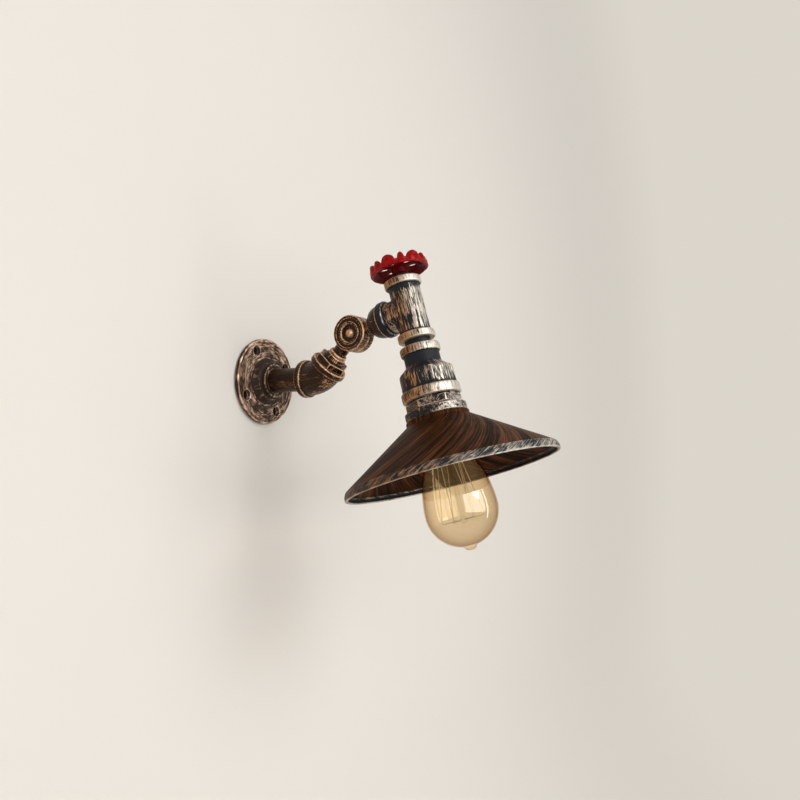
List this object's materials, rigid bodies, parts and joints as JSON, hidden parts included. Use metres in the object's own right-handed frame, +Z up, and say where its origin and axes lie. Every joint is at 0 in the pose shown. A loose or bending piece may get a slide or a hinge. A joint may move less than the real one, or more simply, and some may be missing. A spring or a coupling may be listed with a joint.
{
  "type": "swing arm wall lamp",
  "caption": "Wall lamp built from pipe fittings, with a swivel arm, a conical metal shade, a pear-shaped clear bulb and a valve handwheel as its rotary switch.",
  "frame": {"origin": "centre of the wall flange's back face, on the wall's plane", "axes": "+Z up, +Y into the wall, so the lamp reaches out along -Y; X runs along the wall and is the swivel's axis"},
  "size_m": [0.1738, 0.2767, 0.2404],
  "materials": {
    "flange_cast": "dry-brushed coppery silver over dark brown",
    "bronze_pipe": "dark bronze paint with copper rubbed on the edges",
    "bronze_swivel": "dark bronze paint with copper rubbed on the edges",
    "dark_steel": "dark",
    "washer_fibre": "matte",
    "tee_cast": "charcoal paint dry-brushed with pale silver",
    "black_pipe": "blue-black, satin",
    "silver_rings": "mottled silver over black",
    "shade_paint": "dark brown with orange-brown brush streaks",
    "black_plastic": "matte",
    "lead_plastic": "satin",
    "contact_brass": "bright",
    "amber_glass": "clear amber",
    "stem_glass": "clear",
    "wire_steel": "bright",
    "filament_wire": "dark",
    "spindle_steel": "bright",
    "wheel_red": "glossy red enamel"
  },
  "bodies": {
    "wall_arm": {"wall_flange": "flange_cast", "wall_nipple": "bronze_pipe", "elbow_45": "bronze_pipe", "elbow_bushing": "bronze_pipe", "swivel_lower": "bronze_swivel", "friction_washer": "washer_fibre", "pivot_screw": "dark_steel", "pivot_nut": "dark_steel"},
    "lamp_head": {"swivel_upper": "bronze_swivel", "branch_bushing": "bronze_swivel", "tee": "tee_cast", "top_plug": "black_pipe", "switch_body": "black_plastic", "switch_nut": "dark_steel", "switch_leads": "lead_plastic", "head_nipple": "black_pipe", "reducer": "tee_cast", "hex_bushing": "silver_rings", "lock_ring": "silver_rings", "shade": "shade_paint", "shade_ring": "shade_paint", "lampholder_body": "black_plastic", "lampholder_shell": "contact_brass", "lampholder_contact": "contact_brass", "bulb_cap": "contact_brass", "bulb_insulator": "black_plastic", "bulb_contact": "contact_brass", "bulb_glass": "amber_glass", "bulb_stem": "stem_glass", "bulb_supports": "wire_steel", "bulb_filament": "filament_wire"},
    "valve_wheel": {"switch_spindle": "spindle_steel", "handwheel": "wheel_red", "wheel_nut": "wheel_red"}
  },
  "joints": [
    {"name": "swivel_tilt", "type": "hinge", "parent": "wall_arm", "child": "lamp_head", "pos_m": [0, -0.09943, 0.03617], "axis": [-1, 0, 0], "range_deg": [-40, 75]},
    {"name": "wheel_turn", "type": "hinge", "parent": "lamp_head", "child": "valve_wheel", "pos_m": [0, -0.15432, 0.05191], "axis": [0, 0.2756, 0.9613], "range_deg": [0, 270]}
  ]
}
